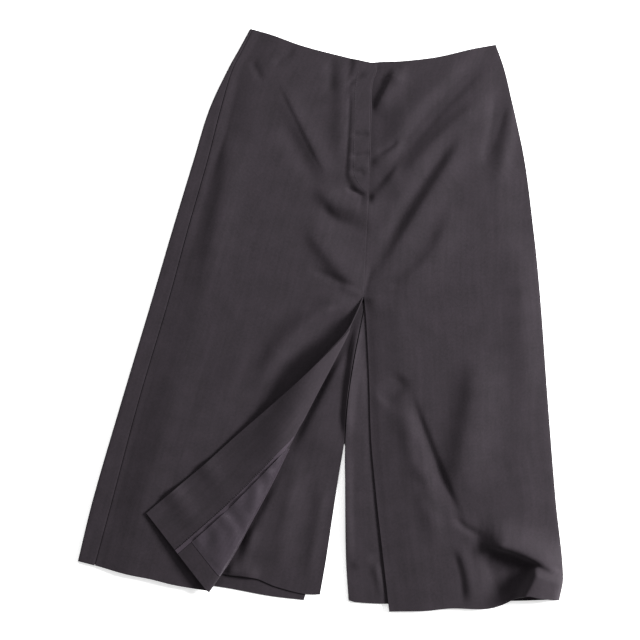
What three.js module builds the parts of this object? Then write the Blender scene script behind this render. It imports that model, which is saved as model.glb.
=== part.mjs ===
// Wide cropped trousers with a split front, laid flat on a table with the front up.
// Millimetres. +X is the wearer's left, +Y runs up to the waist and +Z stands off the table.
// The origin is the middle of the garment's outline, on the table.
import * as THREE from "three";

// Cloth and seams
const CLOTH = 1.2; // twill with its backing
const TRIM_CLOTH = 0.8; // facing, binding and lining on the flap
const GAP = 0.3; // between pieces at a seam and between layers
const LAYER = CLOTH + GAP;

// Heights of the middle of each layer above the table
const BACK_LEVEL = CLOTH / 2;
const INNER_LEVEL = BACK_LEVEL + LAYER;
const OUTER_LEVEL = INNER_LEVEL + LAYER;
const ZIP_CLOTH = 1.0;
const LAP_RISE = ZIP_CLOTH + GAP + LAYER;
const LOFT = 4; // the outer fronts lie this much off what is under them

// Long lengths, as heights on the table
const SLIT_TOP = 33.6;
const FLY_END = 172;
const LAP_FADE = 140; // the lap has sunk to the seam here
const INNER_TOP = 91; // the inner fronts end here, under the outer ones
const SINK_FROM = 128; // above this the outer fronts lie on the backs
const SINK_TO = 95;
const CROTCH = -173.6;
const INNER_LEFT_SIDE = -386; // the side edges of the hidden inner fronts end at these heights
const INNER_RIGHT_SIDE = -328;
const RIGHT_SIDE_HEM = -337.5;
const RIGHT_SEAM_HEM = -343;
const WAIST_AT_CENTRE = 357;

// Distances over which a surface changes level, and insets of hidden edges
const SEAM_FADE = 16;
const SIDE_FADE = 14;
const SLIT_FADE_FROM = 30;
const LOFT_REACH = 50; // the loft grows to its full height over this distance from an edge
const LAP_FADE_FROM = 14;
const LAP_FADE_TO = 4;
const UNDERLAP_FADE_FROM = 10;
const UNDERLAP_FADE_TO = 28;
const SLIT_LOFT = 0.45; // share of the loft that stays at the left front's slit edge
const BACK_INSET = 0.6;
const INNER_SIDE = 16;
const INNER_EDGE_GAP = 1.4;
const BARE_FROM = 4; // inner folds rise between these distances from the outer fronts' edges
const BARE_TO = 16;

// Grid of the outer fronts
const ROWS_ABOVE_SLIT = 20;
const ROWS_BELOW_SLIT = 26;
const HEM_ROWS = 2; // rows in the hem's allowance
const RIGHT_COLUMNS = 14;
const LEFT_COLUMNS = 16;
const ROLL_COLUMNS = 5;
const LINING_COLUMNS = 3;
const FACING_COLUMNS = 3;
const STRIP_COLUMNS = 1;
const TURN_COLUMNS = 4;
const BACK_COLUMNS = 4;
const FLAT_COLUMNS = 5;
const FLAT_ROWS = 16;
const INNER_COLUMNS = 9;
const INNER_ROWS = 18;
const ZIP_ROWS = 6;

// Widths on the turned-back flap
const FACING_WIDTH = 56;
const BINDING_WIDTH = 5.5;
const HEM_ALLOWANCE = 26;
const SLIT_LENGTH = 465;
const TRIM_START = 3; // rows below the slit's top
const LINING_START = 12;
const INSET = 0.04; // share of a grid cell left open beside the neighbouring trim
const ZIP = { left: 49, right: 67, top: 340, bottom: 196 };

const table = (columns, ...rows) => {
  const names = columns.split(" ");
  return rows.map((row) => Object.fromEntries(names.map((name, i) => [name, row[i]])));
};

// Long lines of the garment: x of each at the height y.
const RIGHT_LINES = table(
  "y side seam",
  [406.5, -98, -93.8],
  [380, -112.4, -107],
  [350, -129.1, -122.2],
  [294, -155.1, -138.6],
  [224, -176.7, -156.5],
  [126, -206.4, -184.4],
  [28, -235.2, -211],
  [-112, -277.1, -252.6],
  [-252, -317.9, -289.8],
  [-343, -340.0, -314.3]
);
const LEFT_SIDE = table(
  "y x",
  [385, 245.7],
  [350, 257.9],
  [294, 270.9],
  [224, 285.9],
  [126, 298.5],
  [28, 308],
  [-112, 318.2],
  [-252, 329.3],
  [-357, 339.6],
  [-391, 334]
);
const CENTRE = table(
  "y x",
  [357, 79.1],
  [347, 78.4],
  [329, 72.8],
  [294, 71.4],
  [238, 70],
  [175, 67.9],
  [105, 64.4],
  [SLIT_TOP, 60.9]
);
const UNDERLAP = table("y x", [357, 53], [325, 46.5], [260, 44.8], [205, 44.8], [188, 53], [FLY_END, 68.1]);
const LEFT_SLIT = table(
  "y x",
  [SLIT_TOP, 61.2],
  [0, 64.4],
  [-84, 68.6],
  [-168, 71.4],
  [-252, 79.1],
  [-308, 85.4],
  [-407.4, 96.6]
);
// The front edge of the left inner front, and from the crotch down its inseam.
const INNER_CENTRE = table(
  "y x",
  [INNER_TOP, 64.2],
  [16.8, 61.6],
  [-14, 56],
  [-56, 47.6],
  [-112, 39.2],
  [-175, 35],
  [-224, 35],
  [-336, 36.4],
  [-392, 39.9]
);
const RIGHT_INSEAM = table(
  "y x",
  [CROTCH, 33.6],
  [-224, 25.2],
  [-280, 16.8],
  [-336, 8.4],
  [-384, 0]
);
const BACK_SEAM = table("y x", [357, 79], [300, 71], [168, 67], [28, 56], [-84, 42], [CROTCH, 33]);
const RIGHT_BACK_INSEAM = table("y x", [CROTCH, 33], [-280, 6], [-392, -22.4]);
const LEFT_BACK_INSEAM = table("y x", [CROTCH, 35.4], [-280, 37.1], [-391, 41.3]);

// Cross edges: y at x.
const RIGHT_WAIST = table("x y", [-98, 407.2], [-71.4, 399.7], [-25.2, 382.9], [38.9, 366.1], [79.1, 357]);
const LEFT_WAIST = table(
  "x y",
  [53, 357],
  [82.6, 360.8],
  [114.8, 361.5],
  [165.9, 367.4],
  [216.3, 379.3],
  [245.7, 385]
);
const RIGHT_HEM = table(
  "x y",
  [-314.3, -343],
  [-270.9, -354.9],
  [-237.3, -361.6],
  [-203.7, -369.9],
  [-155.4, -378]
);
const LEFT_HEM = table(
  "x y",
  [96.6, -407.4],
  [148.4, -405.9],
  [182.7, -402.5],
  [233.1, -403.1],
  [259, -395.5],
  [284.2, -381.5],
  [301, -384],
  [334, -391]
);
const INNER_RIGHT_HEM = table(
  "x y",
  [-329, -328],
  [-200, -350],
  [-133, -355.6],
  [-92.4, -360.5],
  [-63, -372.4],
  [-22.4, -383],
  [0, -384]
);
const INNER_LEFT_HEM = table("x y", [39.9, -392], [50.4, -394.8], [95.2, -396.9], [154, -394], [318, -386]);
const RIGHT_BACK_HEM = table(
  "x y",
  [-337.9, -337.5],
  [-238, -357],
  [-157, -371],
  [-126, -375.9],
  [-70, -386.4],
  [-22.4, -392]
);
const LEFT_BACK_HEM = table("x y", [41.3, -391], [154, -392], [266, -393.1], [333.5, -391]);

// Sections of the turned-back flap, from the slit's top (at 0) to the hem (at 1): where it folds, where its
// free edge lies, the radius of the fold, how far it has turned there in degrees, how far it keeps that
// slope, and the heights of its shoulder and its free edge over the cloth below.
const FLAP = table(
  "at foldX foldY edgeX edgeY roll turn reach shoulder edge",
  [0, 60.9, 33.6, 60.9, 33.6, 0, 60, 0, 0, 0],
  [0.06, 49.7, 8, 51, 9.5, 1.4, 85, 2, 5, 8],
  [0.13, 36.8, -21.9, 36.6, -16.5, 2.2, 98, 4, 11, 16],
  [0.22, 17.7, -59.2, 10, -44.6, 3.5, 110, 8, 19, 24],
  [0.34, -8.5, -108.5, -26.3, -81.6, 5, 125, 14, 22, 20],
  [0.48, -38, -166.6, -71.3, -122.1, 7.5, 150, 20, 14, 9],
  [0.62, -66.7, -225.2, -117.1, -161.8, 6.5, 165, 22, 9, 5],
  [0.76, -97.5, -282.6, -162.2, -202.1, 5, 174, 24, 7, 4],
  [0.88, -124.2, -331.7, -202, -235.4, 4, 178, 26, 6, 3.6],
  [1, -155.4, -378, -241.8, -268.8, 3.2, 180, 28, 5, 3.4]
);
const EDGE_LIFTS = table("at height width", [0.755, 3, 0.03], [0.89, 5, 0.035]);

// Folds: a ridge or, below zero, a valley along a bow from 1 through 2 to 3. Left and right are how far it
// spreads to each side of the way from 1 to 3.
const FOLD_COLUMNS = "name x1 y1 x2 y2 x3 y3 height left right";
const FRONT_FOLDS = table(
  FOLD_COLUMNS,
  ["fly crease", -61.6, 333, -25, 262, 15.4, 185, 4.2, 17, 9],
  ["beside the fly crease", -56, 277, -29.4, 238, 0, 179, -3, 9, 13],
  ["right waist by the fly", 32, 364, 31, 294, 26.6, 210, 3, 10, 13],
  ["below the fly", 3, 192, 25, 161, 71.4, 152.6, 6, 15, 9],
  ["under that fold", -3, 164, 25, 131.6, 64.4, 124.6, -3, 10, 14],
  ["belly", -25, 143, 19.6, 80, 59, 42, 5, 24, 12],
  ["round the flap", 60, 32, -28, -11, -98, -106.4, 8, 12, 16],
  ["beside the flap", 39, 12.6, -15.4, -36.4, -81, -115, -4, 12, 12],
  ["right hip", -123, 266, -137, 168, -168, 28, 4, 20, 15],
  ["right leg", -182, -56, -224, -182, -266, -308, 3, 26, 26],
  ["right leg by the flap", -81, -35, -147, -112, -224, -224, 3, 26, 22],
  ["left diagonal", 248, 375, 168, 299.6, 75.6, 185, -6, 11, 11],
  ["below the left diagonal", 241, 313.6, 169.4, 256, 89.6, 164, 5, 18, 10],
  ["above the left diagonal", 215.6, 367, 151, 316.4, 92.4, 241, 3.5, 9, 18],
  ["second diagonal", 196, 266, 141.4, 190.4, 73, 75.6, -4, 10, 10],
  ["below the second diagonal", 213, 269, 145.6, 162.4, 70, 39, 5, 18, 9],
  ["third diagonal", 190.4, 168, 151, 84, 89.6, 39, 4, 20, 11],
  ["left hip valley", 255, 330.4, 243.6, 269, 224, 204.4, -4.5, 10, 10],
  ["left hip", 270, 315, 262, 252, 243.6, 182, 3.5, 10, 10],
  ["left side", 280, 126, 285.6, -14, 294, -154, 3, 18, 18],
  ["left leg middle", 224, -35, 206, -147, 182, -255, 7, 38, 14],
  ["left leg by the slit", 106.4, -106.4, 140, -210, 168, -336, 4, 12, 14],
  ["left hem", 192, -308, 206, -354, 214, -403, 5, 10, 9],
  ["left of the corner", 227, -302.4, 235, -350, 243.6, -400.4, 5, 9, 9],
  ["over the left corner", 229.6, -305, 280, -325, 344.4, -357, 14, 24, 11],
  ["left hem lip", 285.6, -389, 313.6, -376.6, 341.6, -369.6, 7, 9, 12],
);
const INNER_FOLDS = table(
  FOLD_COLUMNS,
  ["left inner edge", 61, 14, 42, -91, 35, -170, 4, 7, 3],
  ["left inner lower", 45, -319, 62, -330, 80, -346, 2.5, 6, 6],
  ["left inner cross", 38, -232, 56, -235, 76, -241, 2, 6, 5],
  ["right inner hem", -81, -280, -95, -319, -112, -358, 4, 7, 7],
  ["right inner middle", -28, -182, -49, -266, -63, -366, 3, 8, 8],
  ["right inner inseam", 3, -210, -11, -294, -20, -380, 2.5, 7, 7]
);

const mix = THREE.MathUtils.lerp;
const rise = THREE.MathUtils.smoothstep;

// The value of a table's column at one value of its key, on a smooth curve through the rows.
function smooth(rows, key, column, at) {
  const last = rows.length - 1;
  const way = Math.sign(rows[last][key] - rows[0][key]);
  let i = 0;
  while (i < last - 1 && (at - rows[i + 1][key]) * way > 0) i++;
  const [a, b] = [rows[i], rows[i + 1]];
  const span = b[key] - a[key];
  const slope = (j) => {
    const [p, q] = [rows[Math.max(j - 1, 0)], rows[Math.min(j + 1, last)]];
    return (q[column] - p[column]) / (q[key] - p[key]);
  };
  const t = THREE.MathUtils.clamp((at - a[key]) / span, 0, 1);
  const s = 1 - t;
  return (
    s * s * (1 + 2 * t) * a[column] +
    t * t * (1 + 2 * s) * b[column] +
    s * s * t * span * slope(i) -
    t * t * s * span * slope(i + 1)
  );
}
const xAt = (rows, y, column = "x") => smooth(rows, "y", column, y);
const yAt = (rows, x) => smooth(rows, "x", "y", x);

// A patch between two long lines and two cross edges, as a point of the plan for 0 to 1 across and down.
function patch({ first, last, top, bottom }) {
  const edge = (rows, from, to, across) => {
    const x = mix(from.x, to.x, across);
    return new THREE.Vector2(x, yAt(rows, x));
  };
  const corners = [first(0), last(0), first(1), last(1)];
  return (across, down) => {
    const [a, b] = [first(down), last(down)];
    const t = edge(top, corners[0], corners[1], across);
    const u = edge(bottom, corners[2], corners[3], across);
    const blend = (i) =>
      mix(a[i], b[i], across) +
      mix(t[i], u[i], down) -
      mix(mix(corners[0][i], corners[1][i], across), mix(corners[2][i], corners[3][i], across), down);
    return new THREE.Vector2(blend("x"), blend("y"));
  };
}
const line = (rows, column, to = rows.at(-1).y, from = rows[0].y) => (down) => {
  const y = mix(from, to, down);
  return new THREE.Vector2(xAt(rows, y, column), y);
};

// Folds as heights over the plan
const PATH_STEPS = 12;
const TAPER = 0.3; // share of a fold's length over which it dies away at each end
function foldHeights(rows) {
  const folds = rows.map((fold) => {
    const [from, via, to] = [1, 2, 3].map((i) => new THREE.Vector2(fold["x" + i], fold["y" + i]));
    const control = via.clone().multiplyScalar(2).sub(from.clone().add(to).multiplyScalar(0.5));
    return { ...fold, path: new THREE.QuadraticBezierCurve(from, control, to).getPoints(PATH_STEPS) };
  });
  return (x, y) => {
    let sum = 0;
    for (const { path, height, left, right } of folds) {
      let near = { distance: Infinity };
      for (let i = 0; i < PATH_STEPS; i++) {
        const [p, q] = [path[i], path[i + 1]];
        const [dx, dy] = [q.x - p.x, q.y - p.y];
        const share = ((x - p.x) * dx + (y - p.y) * dy) / (dx * dx + dy * dy);
        const t = THREE.MathUtils.clamp(share, 0, 1);
        const [ex, ey] = [x - p.x - t * dx, y - p.y - t * dy];
        const distance = Math.hypot(ex, ey);
        if (distance < near.distance) {
          near = { distance, along: (i + t) / PATH_STEPS, onLeft: dx * ey - dy * ex > 0 };
        }
      }
      const taper = rise(Math.min(near.along, 1 - near.along), 0, TAPER);
      sum += height * taper * Math.exp(-((near.distance / (near.onLeft ? left : right)) ** 2));
    }
    return sum;
  };
}
const frontFolds = foldHeights(FRONT_FOLDS);
const innerFolds = foldHeights(INNER_FOLDS);
const notBelowZero = (h) => (h + Math.hypot(h, 1)) / 2;

// What the outer fronts lie on sinks where the inner fronts end.
const restLevel = (y) => mix(OUTER_LEVEL, INNER_LEVEL, rise(y, SINK_TO, SINK_FROM));
const underlapEdge = (y) => (y > FLY_END ? xAt(UNDERLAP, y) : xAt(CENTRE, y) + GAP);

function rightFrontZ(x, y) {
  const fromSeam = x - xAt(RIGHT_LINES, y, "seam");
  const seam = 1 - rise(fromSeam, 0, SEAM_FADE);
  const fromEdge = x - underlapEdge(Math.max(y, FLY_END));
  const lap = rise(fromEdge, -LAP_FADE_FROM, -LAP_FADE_TO) * rise(y, LAP_FADE, FLY_END);
  const folds = notBelowZero(LOFT * rise(fromSeam, 0, LOFT_REACH) + frontFolds(x, y)) * (1 - seam);
  return restLevel(y) + (OUTER_LEVEL - restLevel(y)) * seam + LAP_RISE * lap + folds;
}

function leftFrontZ(x, y) {
  const fromSide = xAt(LEFT_SIDE, y) - x;
  const side = Math.sqrt(1 - (1 - THREE.MathUtils.clamp(fromSide / SIDE_FADE, 0, 1)) ** 2);
  const offLap = rise(x - xAt(CENTRE, y), UNDERLAP_FADE_FROM, UNDERLAP_FADE_TO);
  const underLap = (1 - offLap) * rise(y, FLY_END - SIDE_FADE, FLY_END);
  const bySlit = (1 - rise(x - xAt(LEFT_SLIT, y), 0, LOFT_REACH)) * rise(SLIT_TOP - y, 0, SLIT_FADE_FROM);
  const loft = LOFT * Math.min(rise(fromSide, 0, LOFT_REACH), mix(1, SLIT_LOFT, bySlit));
  const folds = notBelowZero(loft + frontFolds(x, y)) * side * (1 - underLap);
  return mix(INNER_LEVEL, restLevel(y), side) + folds;
}

// A sheet's middle surface as points and faces, over a grid of columns and rows. Grid places that share a
// key are one point, so a corner where columns run together closes.
function surface(columns, rows, at, key = (c, r) => r * (columns + 1) + c) {
  const points = [];
  const index = new Map();
  const vertex = (c, r) => {
    const name = key(c, r);
    if (name === null) return null;
    if (!index.has(name)) {
      index.set(name, points.length);
      points.push(at(c, r));
    }
    return index.get(name);
  };
  const faces = [];
  for (let r = 0; r < rows; r++) {
    for (let c = 0; c < columns; c++) {
      const [a, b, d, e] = [vertex(c, r + 1), vertex(c + 1, r + 1), vertex(c + 1, r), vertex(c, r)];
      if ([a, b, d, e].includes(null)) continue;
      for (const face of [[a, b, d], [a, d, e]]) {
        if (new Set(face).size === 3) faces.push(face);
      }
    }
  }
  return { points, faces };
}

function vertexNormals({ points, faces }) {
  const normals = points.map(() => new THREE.Vector3());
  for (const [a, b, c] of faces) {
    const ab = points[b].clone().sub(points[a]);
    const normal = ab.cross(points[c].clone().sub(points[a]));
    for (const i of [a, b, c]) normals[i].add(normal);
  }
  return normals.map((normal) => normal.normalize());
}

// A wall of one thickness round a sheet's middle surface, closed along its edges.
function wall({ points, faces }, thickness = CLOTH, normals = vertexNormals({ points, faces }), lift = 0) {
  const count = points.length;
  const moved = (way) => points.map((p, i) => p.clone().addScaledVector(normals[i], lift + way));
  const corners = [...moved(thickness / 2), ...moved(-thickness / 2)];
  const index = [];
  const edges = new Set(faces.flatMap(([a, b, c]) => [`${a} ${b}`, `${b} ${c}`, `${c} ${a}`]));
  for (const [a, b, c] of faces) {
    index.push(a, b, c, a + count, c + count, b + count);
  }
  for (const edge of edges) {
    const [a, b] = edge.split(" ").map(Number);
    if (edges.has(`${b} ${a}`)) continue;
    index.push(a, a + count, b + count, a, b + count, b);
  }
  const geometry = new THREE.BufferGeometry().setFromPoints(corners);
  geometry.setIndex(index);
  geometry.computeVertexNormals();
  return geometry;
}

// The flap
const flapValue = (column, at) => smooth(FLAP, "at", column, at);
function foldFrame(at) {
  const step = 0.01;
  const [from, to] = [Math.max(at - step, 0), Math.min(at + step, 1)];
  const fold = new THREE.Vector2(flapValue("foldX", at), flapValue("foldY", at));
  const along = new THREE.Vector2(
    flapValue("foldX", to) - flapValue("foldX", from),
    flapValue("foldY", to) - flapValue("foldY", from)
  ).normalize();
  return { fold, out: new THREE.Vector2(-along.y, along.x), roll: flapValue("roll", at) };
}
const rollStart = (at) => {
  const { fold, out, roll } = foldFrame(at);
  return fold.addScaledVector(out, -roll);
};
const flapEdge = (at) => new THREE.Vector2(flapValue("edgeX", at), flapValue("edgeY", at));

// A point on the roll, from 0 where it leaves the lying cloth to 1 where the flap goes on.
function rollPoint(at, share) {
  const { fold, out, roll } = foldFrame(at);
  const angle = THREE.MathUtils.degToRad(flapValue("turn", at)) * share;
  const start = rollStart(at);
  const plan = fold.addScaledVector(out, roll * (Math.sin(angle) - 1));
  return new THREE.Vector3(plan.x, plan.y, rightFrontZ(start.x, start.y) + roll * (1 - Math.cos(angle)));
}

// A point on the flap, from 0 at the end of the roll to 1 at the free edge.
function flapPoint(at, share) {
  const { out, roll } = foldFrame(at);
  const turn = THREE.MathUtils.degToRad(flapValue("turn", at));
  const from = rollPoint(at, 1);
  const edge = flapEdge(at);
  const start = new THREE.Vector2(from.x, from.y);
  const row = edge.clone().sub(start).normalize();
  const way = out.clone().negate().lerp(row, rise(at, 0.1, 0.4)).normalize();
  const reach = flapValue("reach", at);
  const height = roll * (1 - Math.cos(turn));
  const lift = EDGE_LIFTS.reduce((sum, l) => sum + l.height * Math.exp(-(((at - l.at) / l.width) ** 2)), 0);
  const control = start.clone().addScaledVector(way, -Math.cos(turn) * reach);
  const shoulder = edge.clone().lerp(start, 1 / 3);
  const [s, t] = [1 - share, share];
  const weights = [s * s * s, 3 * s * s * t, 3 * s * t * t, t * t * t];
  const along = (values) => values.reduce((sum, value, i) => sum + weights[i] * value, 0);
  const x = along([start.x, control.x, shoulder.x, edge.x]);
  const y = along([start.y, control.y, shoulder.y, edge.y]);
  const heights = [
    height,
    height + Math.sin(turn) * reach,
    flapValue("shoulder", at),
    flapValue("edge", at) + lift,
  ];
  return new THREE.Vector3(x, y, rightFrontZ(x, y) + along(heights));
}

// Where the facing's binding lies, as shares of the flap's width
const flapWidth = (at) => Math.max(flapEdge(at).distanceTo(foldFrame(at).fold), 1);
const bindingOuter = (at) => Math.max(0.24, 1 - FACING_WIDTH / flapWidth(at));
const bindingInner = (at) => Math.max(0.16, 1 - (FACING_WIDTH + BINDING_WIDTH) / flapWidth(at));

// Outer right front
const rows = ROWS_ABOVE_SLIT + ROWS_BELOW_SLIT;
const slitShare = ROWS_ABOVE_SLIT / rows;
const slitAt = (row) => {
  const below = row - ROWS_ABOVE_SLIT;
  const body = ROWS_BELOW_SLIT - HEM_ROWS;
  const hem = HEM_ALLOWANCE / SLIT_LENGTH;
  return below <= body ? (below / body) * (1 - hem) : 1 - hem + ((below - body) / HEM_ROWS) * hem;
};
const downAt = (row) => (row <= ROWS_ABOVE_SLIT ? row / rows : mix(slitShare, 1, slitAt(row)));
const rightSeam = line(RIGHT_LINES, "seam", RIGHT_SEAM_HEM);
const rightPlan = patch({
  first: rightSeam,
  last: (down) =>
    down <= slitShare
      ? line(CENTRE, "x")(down / slitShare)
      : rollStart((down - slitShare) / (1 - slitShare)),
  top: RIGHT_WAIST,
  bottom: RIGHT_HEM,
});
const flapShare = (at, column) => {
  if (column <= LINING_COLUMNS) return (bindingInner(at) * column) / LINING_COLUMNS;
  return mix(bindingOuter(at), 1, (column - LINING_COLUMNS - 1) / FACING_COLUMNS);
};
const ROLL_END = RIGHT_COLUMNS + ROLL_COLUMNS;
const BINDING_START = ROLL_END + LINING_COLUMNS;
const FACING_START = BINDING_START + 1;
const ALL_COLUMNS = FACING_START + FACING_COLUMNS;

function rightFrontPoint(column, row) {
  if (column <= RIGHT_COLUMNS) {
    const { x, y } = rightPlan(column / RIGHT_COLUMNS, downAt(row));
    return new THREE.Vector3(x, y, rightFrontZ(x, y));
  }
  const at = slitAt(row);
  if (column <= ROLL_END) return rollPoint(at, (column - RIGHT_COLUMNS) / ROLL_COLUMNS);
  return flapPoint(at, flapShare(at, column - ROLL_END));
}
const rightKey = (column, row) => {
  if (column <= RIGHT_COLUMNS) return row * (ALL_COLUMNS + 1) + column;
  if (row < ROWS_ABOVE_SLIT) return null;
  return row * (ALL_COLUMNS + 1) + (row === ROWS_ABOVE_SLIT ? RIGHT_COLUMNS : column);
};
const rightFront = surface(ALL_COLUMNS, rows, rightFrontPoint, rightKey);

// Trim on the flap, made from the flap's own points and moved off its wrong side. A side that isn't on a
// column of the grid is brought in along the row by the inset.
const flapGrid = surface(ALL_COLUMNS - RIGHT_COLUMNS, ROWS_BELOW_SLIT - 1, (c, r) =>
  rightFrontPoint(RIGHT_COLUMNS + c, ROWS_ABOVE_SLIT + 1 + r)
);
const flapNormals = vertexNormals(flapGrid);
const FLAP_WIDE = ALL_COLUMNS - RIGHT_COLUMNS + 1;
function onFlap(column, row) {
  const pick = (list, c, r) => list[r * FLAP_WIDE + c];
  const [c, r] = [Math.floor(column), Math.floor(row)];
  const [c2, r2] = [Math.ceil(column), Math.ceil(row)];
  const blend = (list) => {
    const upper = pick(list, c, r).clone().lerp(pick(list, c2, r), column - c);
    const lower = pick(list, c, r2).clone().lerp(pick(list, c2, r2), column - c);
    return upper.lerp(lower, row - r);
  };
  return { point: blend(flapGrid.points), normal: blend(flapNormals).normalize() };
}
function trim(columns, rowRange) {
  const [firstColumn, lastColumn] = columns;
  const [firstRow, lastRow] = rowRange;
  const steps = (from, to) => {
    const inner = [];
    for (let i = Math.floor(from) + 1; i < to; i++) inner.push(i);
    return [from, ...inner, to];
  };
  const across = steps(firstColumn, lastColumn).map((c) => c - RIGHT_COLUMNS);
  const down = steps(firstRow, lastRow).map((r) => r - ROWS_ABOVE_SLIT - 1);
  const places = (c, r) => onFlap(across[c], down[r]);
  const sheet = surface(across.length - 1, down.length - 1, (c, r) => places(c, r).point);
  const normals = surface(across.length - 1, down.length - 1, (c, r) => places(c, r).normal).points;
  return wall(sheet, TRIM_CLOTH, normals, -(CLOTH / 2 + GAP + TRIM_CLOTH / 2));
}
const TRIM_TOP = ROWS_ABOVE_SLIT + TRIM_START;
const LINING_TOP = ROWS_ABOVE_SLIT + LINING_START;
const HEM_TOP = rows - HEM_ROWS;

// Outer left front
const leftInnerEdge = (down) => {
  if (down > slitShare) {
    const y = mix(SLIT_TOP, LEFT_SLIT.at(-1).y, slitAt(ROWS_ABOVE_SLIT + (down - slitShare) * rows));
    return new THREE.Vector2(xAt(LEFT_SLIT, y), y);
  }
  const y = mix(WAIST_AT_CENTRE, SLIT_TOP, down / slitShare);
  return new THREE.Vector2(underlapEdge(y), y);
};
const leftPlan = patch({
  first: leftInnerEdge,
  last: line(LEFT_SIDE, "x"),
  top: LEFT_WAIST,
  bottom: LEFT_HEM,
});
const leftFront = surface(LEFT_COLUMNS, rows, (column, row) => {
  const { x, y } = leftPlan(column / LEFT_COLUMNS, row / rows);
  return new THREE.Vector3(x, y, leftFrontZ(x, y));
});

// Right back: from the side seam on the front, round the side and flat across to the centre and the inseam
const TURN_RADIUS = (OUTER_LEVEL - BACK_LEVEL) / 2;
const rightSide = line(RIGHT_LINES, "side", RIGHT_SIDE_HEM);
const turnCentre = (down) => {
  const side = rightSide(down);
  side.x += TURN_RADIUS + CLOTH / 2;
  return side;
};
const backCentre = (inseam) => (down) => {
  const y = mix(WAIST_AT_CENTRE, inseam.at(-1).y, down);
  return new THREE.Vector2(xAt(y > CROTCH ? BACK_SEAM : inseam, y), y);
};
const rightBackPlan = patch({
  first: turnCentre,
  last: backCentre(RIGHT_BACK_INSEAM),
  top: RIGHT_WAIST,
  bottom: RIGHT_BACK_HEM,
});
const rightBack = surface(STRIP_COLUMNS + TURN_COLUMNS + BACK_COLUMNS, rows, (column, row) => {
  const down = downAt(row);
  const centre = turnCentre(down);
  if (column < STRIP_COLUMNS) {
    const seam = rightSeam(down);
    return new THREE.Vector3(seam.x - GAP, seam.y, OUTER_LEVEL);
  }
  if (column <= STRIP_COLUMNS + TURN_COLUMNS) {
    const angle = (Math.PI * (column - STRIP_COLUMNS)) / TURN_COLUMNS;
    return new THREE.Vector3(
      centre.x - TURN_RADIUS * Math.sin(angle),
      centre.y,
      BACK_LEVEL + TURN_RADIUS * (1 + Math.cos(angle))
    );
  }
  const { x, y } = rightBackPlan((column - STRIP_COLUMNS - TURN_COLUMNS) / BACK_COLUMNS, down);
  return new THREE.Vector3(x, y, BACK_LEVEL);
});

// Left back, flat
const leftBackPlan = patch({
  first: (down) => {
    const edge = backCentre(LEFT_BACK_INSEAM)(down);
    edge.x += edge.y > CROTCH ? 2 * GAP : 0;
    return edge;
  },
  last: (down) => {
    const side = line(LEFT_SIDE, "x")(down);
    side.x -= BACK_INSET;
    return side;
  },
  top: LEFT_WAIST,
  bottom: LEFT_BACK_HEM,
});
const leftBack = surface(FLAT_COLUMNS, FLAT_ROWS, (column, row) => {
  const { x, y } = leftBackPlan(column / FLAT_COLUMNS, row / FLAT_ROWS);
  return new THREE.Vector3(x, y, BACK_LEVEL);
});

// Inner fronts: raised into folds only where the outer fronts leave them bare
const foldLineX = (y) => smooth(FLAP, "foldY", "foldX", y);
function innerSheet(plan, bare) {
  return surface(INNER_COLUMNS, INNER_ROWS, (column, row) => {
    const { x, y } = plan(column / INNER_COLUMNS, row / INNER_ROWS);
    const open = y < SLIT_TOP ? rise(bare(x, y), BARE_FROM, BARE_TO) : 0;
    return new THREE.Vector3(x, y, INNER_LEVEL + notBelowZero(innerFolds(x, y)) * open);
  });
}
const innerTop = table("x y", [-220, INNER_TOP], [300, INNER_TOP]);
const innerLeft = innerSheet(
  patch({
    first: line(INNER_CENTRE, "x"),
    last: (down) => {
      const side = line(LEFT_SIDE, "x", INNER_LEFT_SIDE, INNER_TOP)(down);
      side.x -= INNER_SIDE;
      return side;
    },
    top: innerTop,
    bottom: INNER_LEFT_HEM,
  }),
  (x, y) => xAt(LEFT_SLIT, y) - x
);
const innerRight = innerSheet(
  patch({
    first: (down) => {
      const side = line(RIGHT_LINES, "side", INNER_RIGHT_SIDE, INNER_TOP)(down);
      side.x += INNER_SIDE / 2;
      return side;
    },
    last: (down) => {
      const y = mix(INNER_TOP, RIGHT_INSEAM.at(-1).y, down);
      const x = y > CROTCH ? xAt(INNER_CENTRE, y) - INNER_EDGE_GAP : xAt(RIGHT_INSEAM, y);
      return new THREE.Vector2(x, y);
    },
    top: innerTop,
    bottom: INNER_RIGHT_HEM,
  }),
  (x, y) => x - foldLineX(y)
);

// Fly zip: one flat strip between the lap and the underlap
const zipSheet = surface(1, ZIP_ROWS, (column, row) => {
  const y = mix(ZIP.top, ZIP.bottom, row / ZIP_ROWS);
  const level = INNER_LEVEL + CLOTH / 2 + GAP + ZIP_CLOTH / 2;
  return new THREE.Vector3(column ? ZIP.right : ZIP.left, y, level);
});

const twill = new THREE.MeshStandardMaterial({ color: 0x3e393e, roughness: 0.85 });
const innerTwill = new THREE.MeshStandardMaterial({ color: 0x38343a, roughness: 0.85 });
const satin = new THREE.MeshStandardMaterial({ color: 0x4b474e, roughness: 0.5 });
const bindingTape = new THREE.MeshStandardMaterial({ color: 0x5a565c, roughness: 0.6 });
const zipTape = new THREE.MeshStandardMaterial({ color: 0x2a282c, roughness: 0.7 });

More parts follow.
